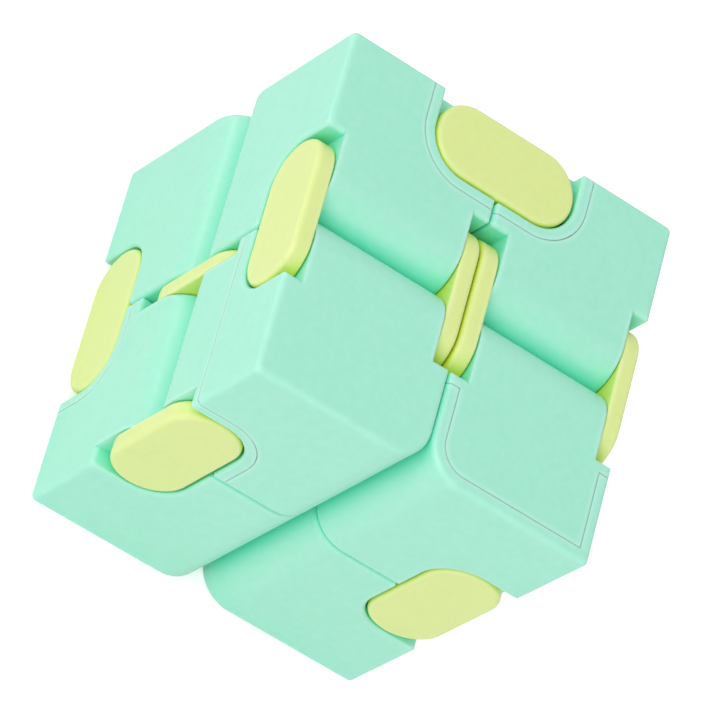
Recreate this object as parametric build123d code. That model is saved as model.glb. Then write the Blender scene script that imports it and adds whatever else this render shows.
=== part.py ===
from build123d import *
import os

# Infinity cube: eight hollow cubelets in a ring, joined by eight hinges of two links each.
# The closed cube stands on its lower face. Origin: centre of that face. +Z up, -Y front, +X right.
# Every cubelet is one moulded shell with one cover, made in two hands that alternate round the ring.
# The ring is parted at one pivot, where the front waist links have no pins for the lower cubelet.

# Cubelet
side = 20.0  # face to face
gap = 0.1  # between neighbouring cubelets when the cube is closed
edge_round = 0.6  # on the plain edges
wall = 2.0  # shell wall

# Hinge
pin_inset = 4.25  # pin axis to each of the two faces that meet at a hinge edge
link_play = 0.2  # room round a link in its pocket
link_thick = 2.0
link_half_width = 4.15
link_recess = 0.05  # link face below the cubelet's face
link_round = 0.55  # outer rim of a link
link_back_round = 0.2
floor_gap = 0.1  # link to pocket floor, and snap head to the floor's other side
floor_thick = 1.4
pin_radius = 1.5
pin_clearance = 0.05  # radial
head_radius = 1.9  # snap head
head_length = 0.9
head_taper = 0.35
split_width = 0.8  # slot that lets a pin's two legs spring
split_root = 0.5  # solid stub between the slot and the plate

# Cover
collar = 1.3  # cover wall round a link pocket
rim = 1.4  # shell rim round the cover plate
plate_thick = 1.5
seam = 0.05  # gap between cover and shell
lead_in = 0.25  # chamfer on a pocket's mouth
mouth_round = 0.5  # where a pocket's sides run out through the faces

# Worked out from the above
half = side / 2
centre_offset = gap / 2 + half
pin_pitch = 2 * pin_inset + gap
pocket_round = link_half_width + link_play
pocket_reach = pin_inset + pocket_round
pocket_depth = link_recess + link_thick + floor_gap
cup_depth = pocket_depth + floor_thick
overrun = 1.0  # how far a cutter reaches past a face
diagonal = Axis((0, 0, 0), (1, 1, 1))  # a third of a turn about it swaps one rounded edge for the next
swap_axis = Axis((0, 0, 0), (-1, 1, 0))  # half a turn about it swaps the two hinge edges


def corner_outline(reach, radius, margin):
    """A square at the -X +Z corner, seen along Y, with its inner corner rounded."""
    size = reach + margin
    middle = half + margin - size / 2
    square = Pos(-middle, middle) * Rectangle(size, size)
    return fillet(square.vertices().sort_by(lambda v: v.X - v.Y)[-1:], radius)


def eased_outline():
    """A link pocket's outline, flared where its sides run out through the two faces."""
    start = half - pocket_reach  # where each side of the pocket meets a face
    flare_height = mouth_round + overrun
    top = Pos(mouth_round / 2 - start, half + (overrun - mouth_round) / 2)
    flare = top * Rectangle(mouth_round, flare_height)
    flare -= Pos(mouth_round - start, half - mouth_round) * Circle(mouth_round)
    outline = corner_outline(pocket_reach, pocket_round, overrun)
    return outline + flare + flare.mirror(Plane((0, 0, 0), x_dir=(0, 0, 1), z_dir=(1, 1, 0)))


def corner_prism(reach, radius, low, high):
    """A bar along the -X +Z edge from Y = low to Y = high, running past the two faces beside it."""
    base = Plane((0, low, 0), x_dir=(1, 0, 0), z_dir=(0, -1, 0))
    return extrude(base * corner_outline(reach, radius, overrun), -(high - low))


def rounded_box(low, high, radius):
    """A box from corner low to corner high with the three skew edges rounded."""
    size = [b - a for a, b in zip(low, high)]
    middle = [(a + b) / 2 for a, b in zip(low, high)]
    box = Pos(*middle) * Box(*size)
    skew_edges = [
        box.edges().filter_by(Axis.Y).sort_by(lambda e: e.center().Z - e.center().X)[-1],
        box.edges().filter_by(Axis.Z).sort_by(lambda e: e.center().X - e.center().Y)[-1],
        box.edges().filter_by(Axis.X).sort_by(lambda e: e.center().Y - e.center().Z)[-1],
    ]
    return fillet(skew_edges, radius)


def outer_form():
    """The cubelet's outside: three large hinge-radius edges, and all the others eased."""
    block = rounded_box([-half] * 3, [half] * 3, pin_inset)

    def is_sharp(edge):
        on_faces = sum(abs(abs(c) - half) < 0.01 for c in edge.center())
        return edge.geom_type == GeomType.CIRCLE or on_faces == 2

    return fillet([edge for edge in block.edges() if is_sharp(edge)], edge_round)


def cavity():
    """The hollow inside the shell, up to the underside of the cover plate."""
    inner = half - wall
    return rounded_box([-inner] * 3, [inner, inner, half - plate_thick], pin_inset - wall)


def cover_space(grow):
    """What the cover fills: a bar along its hinge edge and a plate set into the +Z face."""
    bar = corner_prism(
        pocket_reach + collar + grow, pocket_round + collar + grow, -half - overrun, half + overrun
    )
    edge = half - rim + grow
    outline = Pos((edge - half) / 2, 0) * Rectangle(half + edge, 2 * edge)
    outline = fillet(outline.vertices().sort_by(lambda v: v.X - v.Y)[-1:], pin_inset - rim + grow)
    bottom = half - plate_thick - grow
    return bar + extrude(Pos(0, 0, bottom) * outline, plate_thick + grow + overrun)


def pocket(end):
    """Link pocket with its pin bore, at one end (+1 or -1) of the -X +Z edge."""
    face = end * half
    floor = face - end * pocket_depth
    base = Plane((0, floor, 0), x_dir=(1, 0, 0), z_dir=(0, -1, 0))
    recess = extrude(base * eased_outline(), -end * (pocket_depth + overrun))
    mouth = Plane((0, face - end * lead_in, 0), x_dir=(1, 0, 0), z_dir=(0, -1, 0))
    flare = extrude(
        mouth * corner_outline(pocket_reach, pocket_round, overrun), -2 * end * lead_in, taper=-45
    )
    bore = Pos(-half + pin_inset, floor, half - pin_inset) * Rot(90, 0, 0)
    return recess + flare + bore * Cylinder(pin_radius + pin_clearance, 2 * (floor_thick + overrun))


def pockets():
    return pocket(1) + pocket(-1)


def cover(outer, hollow):
    """Plate, rounded hinge edge and the two link cups, in one moulding."""
    between_cups = hollow & Box(side, 2 * (half - cup_depth), side)
    return (outer & cover_space(0)) - between_cups - pockets()


def shell(outer, hollow):
    """Five-sided box with the other hinge's link cups moulded in, along its +Y -Z edge."""
    cup = [pocket_reach + collar, pocket_round + collar]
    cups = corner_prism(*cup, half - cup_depth, half + overrun)
    cups += corner_prism(*cup, -half - overrun, -half + cup_depth)
    cups = cups.rotate(diagonal, 240) & outer
    return (outer - hollow) + cups - cover_space(seam) - pockets().rotate(diagonal, 240)


def snap_pin():
    """Pin under a link plate, with a tapered head split into two legs."""
    reach = link_thick + 2 * floor_gap + floor_thick
    stem = Pos(0, 0, -reach / 2) * Cylinder(pin_radius, reach)
    head = Pos(0, 0, -reach - head_length / 2) * Cylinder(head_radius, head_length)
    tip = head.edges().filter_by(GeomType.CIRCLE).sort_by(Axis.Z)[0]
    pin = stem + chamfer(tip, head_taper)
    root = link_thick + split_root
    split = Pos(0, 0, -root - side / 2) * Box(split_width, 3 * head_radius, side)
    return pin - split


def link(pinned_ends):
    """Flat stadium plate along X, outer face at Z = 0, with a snap pin under each end named."""
    plate = extrude(SlotCenterToCenter(pin_pitch, 2 * link_half_width), -link_thick)
    plate = fillet(plate.faces().sort_by(Axis.Z)[-1].edges(), link_round)
    plate = fillet(plate.faces().sort_by(Axis.Z)[0].edges(), link_back_round)
    for end in pinned_ends:
        plate += Pos(end * pin_pitch / 2, 0, 0) * snap_pin()
    return plate


# Corner name: which side of the middle it is on in X, Y and Z, turn about the diagonal, swapped hinges
cubelets = {
    "front_upper_left": ((-1, -1, 1), 120, False),
    "front_upper_right": ((1, -1, 1), 0, True),
    "front_lower_right": ((1, -1, -1), 0, False),
    "front_lower_left": ((-1, -1, -1), 120, False),
    "back_upper_left": ((-1, 1, 1), 120, False),
    "back_upper_right": ((1, 1, 1), 0, False),
    "back_lower_right": ((1, 1, -1), 0, False),
    "back_lower_left": ((-1, 1, -1), 120, False),
}

# Hinge name: the hinge edge's centre line, its direction, and the direction from pin to pin
pin_line = centre_offset + half - pin_inset
hinges = {
    "spine_upper": ((-pin_line, 0, centre_offset), (0, 0, 1), (0, 1, 0)),
    "spine_lower": ((-pin_line, 0, -centre_offset), (0, 0, -1), (0, 1, 0)),
    "front_waist": ((centre_offset, -pin_line, 0), (1, 0, 0), (0, 0, 1)),
    "back_waist": ((centre_offset, pin_line, 0), (1, 0, 0), (0, 0, 1)),
    "top_front": ((0, -centre_offset, pin_line), (0, -1, 0), (1, 0, 0)),
    "top_back": ((0, centre_offset, pin_line), (0, 1, 0), (1, 0, 0)),
    "bottom_front": ((0, -centre_offset, -pin_line), (0, -1, 0), (1, 0, 0)),
    "bottom_back": ((0, centre_offset, -pin_line), (0, 1, 0), (1, 0, 0)),
}
parted_hinge = "front_waist"
lift = centre_offset + half  # the cube's centre above the face it stands on


def place_cubelet(piece, signs, turn, swapped):
    """Stands a piece of the basic cubelet in its corner, mirrored for every side it lies beyond."""
    if swapped:
        piece = piece.rotate(swap_axis, 180)
    piece = piece.rotate(diagonal, turn)
    for sign, plane in zip(signs, (Plane.YZ, Plane.XZ, Plane.XY)):
        if sign < 0:
            piece = piece.mirror(plane)
    return Pos(*[sign * centre_offset for sign in signs]) * (Pos(0, 0, lift) * piece)


def place_link(piece, middle, outward, across, end):
    """Sets a link into the outer (+1) or inner (-1) end of a hinge."""
    facing = Vector(*outward) * end
    origin = Vector(*middle) + facing * (half - link_recess) + Vector(0, 0, lift)
    return Plane(origin, x_dir=across, z_dir=facing) * piece


os.makedirs("parts", exist_ok=True)

form, hollow_form = outer_form(), cavity()
shell_piece, cover_piece = shell(form, hollow_form), cover(form, hollow_form)
for corner, placing in cubelets.items():
    export_step(place_cubelet(shell_piece, *placing), f"parts/{corner}_shell.step")
    export_step(place_cubelet(cover_piece, *placing), f"parts/{corner}_cover.step")

full_link, parted_link = link((-1, 1)), link((1,))
for hinge, line in hinges.items():
    link_piece = parted_link if hinge == parted_hinge else full_link
    export_step(place_link(link_piece, *line, 1), f"parts/{hinge}_outer_link.step")
    export_step(place_link(link_piece, *line, -1), f"parts/{hinge}_inner_link.step")
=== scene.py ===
import math

import bpy
from mathutils import Matrix, Vector


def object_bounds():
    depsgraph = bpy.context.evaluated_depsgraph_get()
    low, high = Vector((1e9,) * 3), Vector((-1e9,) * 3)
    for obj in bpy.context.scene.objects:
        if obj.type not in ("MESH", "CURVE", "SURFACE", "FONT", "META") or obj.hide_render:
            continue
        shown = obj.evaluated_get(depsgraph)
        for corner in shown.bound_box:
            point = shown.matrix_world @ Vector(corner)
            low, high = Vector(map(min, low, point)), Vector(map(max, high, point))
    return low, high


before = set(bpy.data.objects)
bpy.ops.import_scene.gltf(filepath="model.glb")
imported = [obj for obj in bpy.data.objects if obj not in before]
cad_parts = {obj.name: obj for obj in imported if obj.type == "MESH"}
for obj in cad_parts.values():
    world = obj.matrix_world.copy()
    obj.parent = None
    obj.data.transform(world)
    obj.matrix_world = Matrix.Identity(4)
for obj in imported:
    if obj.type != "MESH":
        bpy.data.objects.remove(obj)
cad_low, cad_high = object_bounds()
centre = (cad_low + cad_high) / 2
cube_side = cad_high.z - cad_low.z
MM = 0.001

# Plastics: base colour, deeper patches of pigment, pale specks that also serve as a painted highlight on
# arrises, and a painted shade for creases
MINT = ((0.365, 0.830, 0.640), (0.340, 0.810, 0.610), (0.640, 0.980, 0.870), (0.190, 0.870, 0.640))
LEMON = ((0.730, 0.840, 0.308), (0.700, 0.825, 0.280), (0.880, 0.970, 0.520), (0.660, 0.790, 0.030))
SHELL_ROUGHNESS, COVER_ROUGHNESS, LINK_ROUGHNESS = 0.34, 0.33, 0.35
REFRACTION, SPECULAR = 1.48, 0.55
SCATTER_SHARE, SCATTER_DEPTH = 0.22, 1.1 * MM

# Patterns in the plastics: size of a patch, levels of finer detail, and how far it changes the surface
PATTERN_SHIFT = (0.37, 0.61, 0.83)  # times a finish's seed, so that no two finishes share a pattern
PATTERN_SPAN = (0.3, 0.7)  # the part of a noise's range that is put to use
CLOUD_SIZE, CLOUD_DETAIL, CLOUD_SHARE = 14 * MM, 3, 0.35
SPECK_SIZE, SPECK_DETAIL, SPECK_SHARE = 0.9 * MM, 2, 0.12
GLOSS_SIZE, GLOSS_DETAIL, GLOSSIER, DULLER = 6 * MM, 4, 0.05, 0.06
WAVE_SIZE, WAVE_DETAIL, WAVE_STRENGTH, WAVE_HEIGHT = 9 * MM, 1, 0.25, 0.05 * MM
GRAIN_SIZE, GRAIN_DETAIL, GRAIN_STRENGTH, GRAIN_HEIGHT = 0.22 * MM, 2, 0.10, 0.02 * MM

# Edges and creases: how far round a point is probed, and how open it is where the painted arris
# highlight and the painted crease shade start and peak
EDGE_RADIUS, EDGE_SAMPLES = 0.28 * MM, 6
PROBE_SAMPLES = 8
ARRIS_REACH, ARRIS_STARTS, ARRIS_PEAKS, ARRIS_HIGHLIGHT_SHARE = 0.7 * MM, 0.94, 0.58, 0.45
CREASE_REACH, CREASE_STARTS, CREASE_PEAKS = 4.5 * MM, 0.85, 0.20
# The painted crease shade is kept off where the cube stands on the table
CREASE_SHADE_HEIGHTS = (0.5 * MM, 4.0 * MM)  # the table makes no creases: they fade in between these heights

# Studio
TABLE_REACH = 60 * cube_side
TABLE_COLOUR, TABLE_ROUGHNESS = (0.9, 0.9, 0.9, 1), 0.8
TABLE_GLOW_ON_CUBE, TABLE_GLOW_IN_VIEW = 0.05, 0.45
WHITE = (1, 1, 1, 1)
SKY_STRENGTH = 0.66


def plastic(name, colours, roughness, seed):
    """Satin moulded plastic: cloudy pigment with pale specks, painted shade in creases, a painted
    highlight on arrises and a fine grain.
    """
    colour, deep_colour, speck_and_highlight_colour, crease_shade_colour = colours
    material = bpy.data.materials.new(name)
    material.use_nodes = True
    nodes, links = material.node_tree.nodes, material.node_tree.links
    shader = nodes["Principled BSDF"]

    place = nodes.new("ShaderNodeTexCoord")
    shift = nodes.new("ShaderNodeMapping")
    shift.inputs["Location"].default_value = [seed * step for step in PATTERN_SHIFT]
    links.new(place.outputs["Object"], shift.inputs["Vector"])

    def noise(size, detail):
        texture = nodes.new("ShaderNodeTexNoise")
        texture.inputs["Scale"].default_value = 1 / size
        texture.inputs["Detail"].default_value = detail
        links.new(shift.outputs["Vector"], texture.inputs["Vector"])
        return texture.outputs["Fac"]

    def mapped(value, start, stop, low, high):
        spread = nodes.new("ShaderNodeMapRange")
        spread.inputs["From Min"].default_value = start
        spread.inputs["From Max"].default_value = stop
        spread.inputs["To Min"].default_value = low
        spread.inputs["To Max"].default_value = high
        links.new(value, spread.inputs["Value"])
        return spread.outputs["Result"]

    def mixed(factor, first, second):
        mix = nodes.new("ShaderNodeMix")
        mix.data_type = "RGBA"
        links.new(factor, mix.inputs["Factor"])
        for socket, value in ((mix.inputs["A"], first), (mix.inputs["B"], second)):
            if isinstance(value, tuple):
                socket.default_value = (*value, 1)
            else:
                links.new(value, socket)
        return mix.outputs["Result"]

    def openness(reach, inside):
        """How open the surface is within a reach: outward for creases, inward for arrises."""
        probe = nodes.new("ShaderNodeAmbientOcclusion")
        probe.samples = PROBE_SAMPLES
        probe.inside = inside
        probe.inputs["Distance"].default_value = reach
        return probe.outputs["AO"]

    def bumped(height, strength, distance, normal):
        bump = nodes.new("ShaderNodeBump")
        bump.inputs["Strength"].default_value = strength
        bump.inputs["Distance"].default_value = distance
        links.new(height, bump.inputs["Height"])
        links.new(normal, bump.inputs["Normal"])
        return bump.outputs["Normal"]

    clouds = mapped(noise(CLOUD_SIZE, CLOUD_DETAIL), *PATTERN_SPAN, 0, CLOUD_SHARE)
    specks = mapped(noise(SPECK_SIZE, SPECK_DETAIL), *PATTERN_SPAN, 0, SPECK_SHARE)
    pigment = mixed(specks, mixed(clouds, colour, deep_colour), speck_and_highlight_colour)

    # Painted highlight: convex arrises are mixed towards the pale colour, standing in for light caught
    # on the edges
    arris_highlight = mapped(openness(ARRIS_REACH, True), ARRIS_STARTS, ARRIS_PEAKS, 0, ARRIS_HIGHLIGHT_SHARE)
    pigment_and_highlight = mixed(arris_highlight, pigment, speck_and_highlight_colour)

    # Painted shade: where neighbouring parts close in, the colour is mixed towards a darker, richer
    # crease colour, faded out near the table
    height = nodes.new("ShaderNodeSeparateXYZ")
    links.new(place.outputs["Object"], height.inputs["Vector"])
    crease_shade = nodes.new("ShaderNodeMath")
    crease_shade.operation = "MULTIPLY"
    closed_in = mapped(openness(CREASE_REACH, False), CREASE_STARTS, CREASE_PEAKS, 0, 1)
    links.new(closed_in, crease_shade.inputs[0])
    links.new(mapped(height.outputs["Z"], *CREASE_SHADE_HEIGHTS, 0, 1), crease_shade.inputs[1])
    links.new(mixed(crease_shade.outputs["Value"], pigment_and_highlight, crease_shade_colour), shader.inputs["Base Color"])

    gloss = noise(GLOSS_SIZE, GLOSS_DETAIL)
    patchy = mapped(gloss, *PATTERN_SPAN, roughness - GLOSSIER, roughness + DULLER)
    links.new(patchy, shader.inputs["Roughness"])

    rounded = nodes.new("ShaderNodeBevel")
    rounded.samples = EDGE_SAMPLES
    rounded.inputs["Radius"].default_value = EDGE_RADIUS
    wave, grain = noise(WAVE_SIZE, WAVE_DETAIL), noise(GRAIN_SIZE, GRAIN_DETAIL)
    wavy = bumped(wave, WAVE_STRENGTH, WAVE_HEIGHT, rounded.outputs["Normal"])
    links.new(bumped(grain, GRAIN_STRENGTH, GRAIN_HEIGHT, wavy), shader.inputs["Normal"])

    shader.inputs["IOR"].default_value = REFRACTION
    shader.inputs["Specular IOR Level"].default_value = SPECULAR
    shader.inputs["Subsurface Weight"].default_value = SCATTER_SHARE
    shader.inputs["Subsurface Radius"].default_value = colour
    shader.inputs["Subsurface Scale"].default_value = SCATTER_DEPTH
    return material


def tabletop():
    """A plain white table under the cube, far wider than any view."""
    mesh = bpy.data.meshes.new("tabletop")
    sides = ((-1, -1), (1, -1), (1, 1), (-1, 1))
    corners = [(x * TABLE_REACH, y * TABLE_REACH, cad_low.z) for x, y in sides]
    mesh.from_pydata(corners, [], [(0, 1, 2, 3)])
    table = bpy.data.objects.new("tabletop", mesh)
    bpy.context.scene.collection.objects.link(table)

    material = bpy.data.materials.new("white_tabletop")
    material.use_nodes = True
    nodes, links = material.node_tree.nodes, material.node_tree.links
    shader = nodes["Principled BSDF"]
    shader.inputs["Base Color"].default_value = TABLE_COLOUR
    shader.inputs["Roughness"].default_value = TABLE_ROUGHNESS
    shader.inputs["Emission Color"].default_value = WHITE
    ray = nodes.new("ShaderNodeLightPath")
    glow = nodes.new("ShaderNodeMapRange")
    glow.inputs["To Min"].default_value = TABLE_GLOW_ON_CUBE
    glow.inputs["To Max"].default_value = TABLE_GLOW_IN_VIEW
    links.new(ray.outputs["Is Camera Ray"], glow.inputs["Value"])
    links.new(glow.outputs["Result"], shader.inputs["Emission Strength"])
    mesh.materials.append(material)


def direction(azimuth, elevation):
    """Unit vector from the cube: azimuth 0 is the front (-Y), 90 the right (+X)."""
    a, e = math.radians(azimuth), math.radians(elevation)
    return Vector((math.sin(a) * math.cos(e), -math.cos(a) * math.cos(e), math.sin(e)))


def softbox(name, azimuth, elevation, distance, size, power):
    """A square area light aimed at the cube, placed by its direction round it."""
    data = bpy.data.lights.new(name, "AREA")
    data.size = size
    data.energy = power
    lamp = bpy.data.objects.new(name, data)
    away = direction(azimuth, elevation)
    lamp.location = centre + away * distance
    lamp.rotation_mode = "QUATERNION"
    lamp.rotation_quaternion = away.to_track_quat("Z", "Y")
    bpy.context.scene.collection.objects.link(lamp)


def studio():
    """Even white surroundings with three softboxes."""
    world = bpy.data.worlds.new("studio")
    bpy.context.scene.world = world
    world.use_nodes = True
    background = world.node_tree.nodes["Background"]
    background.inputs["Color"].default_value = WHITE
    background.inputs["Strength"].default_value = SKY_STRENGTH
    softbox("key_softbox", azimuth=20, elevation=48, distance=0.60, size=0.45, power=1.38)
    softbox("low_softbox", azimuth=-33, elevation=8, distance=0.60, size=0.06, power=0.20)
    softbox("side_softbox", azimuth=95, elevation=30, distance=0.70, size=0.50, power=0.65)


def camera():
    """The cube seen from above its front right corner, with the camera rolled far over."""
    azimuth, elevation, roll = 53.1, 49.1, 60.6
    distance = 579 * MM
    data = bpy.data.cameras.new("camera")
    data.sensor_width = 36
    data.lens = 292.8
    data.shift_x, data.shift_y = 0.0100, 0.0044
    data.clip_start, data.clip_end = 0.01, 20
    eye = bpy.data.objects.new("camera", data)
    away = direction(azimuth, elevation)
    right = Vector((math.cos(math.radians(azimuth)), math.sin(math.radians(azimuth)), 0))
    upright = Matrix((right, away.cross(right), away)).transposed()
    turned = upright @ Matrix.Rotation(math.radians(roll), 3, "Z")
    eye.matrix_world = Matrix.Translation(centre + away * distance) @ turned.to_4x4()
    bpy.context.scene.collection.objects.link(eye)
    bpy.context.scene.camera = eye


finishes = {
    "shell": plastic("mint_shell_plastic", MINT, SHELL_ROUGHNESS, 1),
    "cover": plastic("mint_cover_plastic", MINT, COVER_ROUGHNESS, 2),
    "link": plastic("lemon_link_plastic", LEMON, LINK_ROUGHNESS, 3),
}
for name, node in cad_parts.items():
    kind = name.rsplit("_", 1)[1]
    node.data.materials.clear()
    node.data.materials.append(finishes[kind])

tabletop()
studio()
camera()
bpy.context.scene.view_settings.view_transform = "Standard"
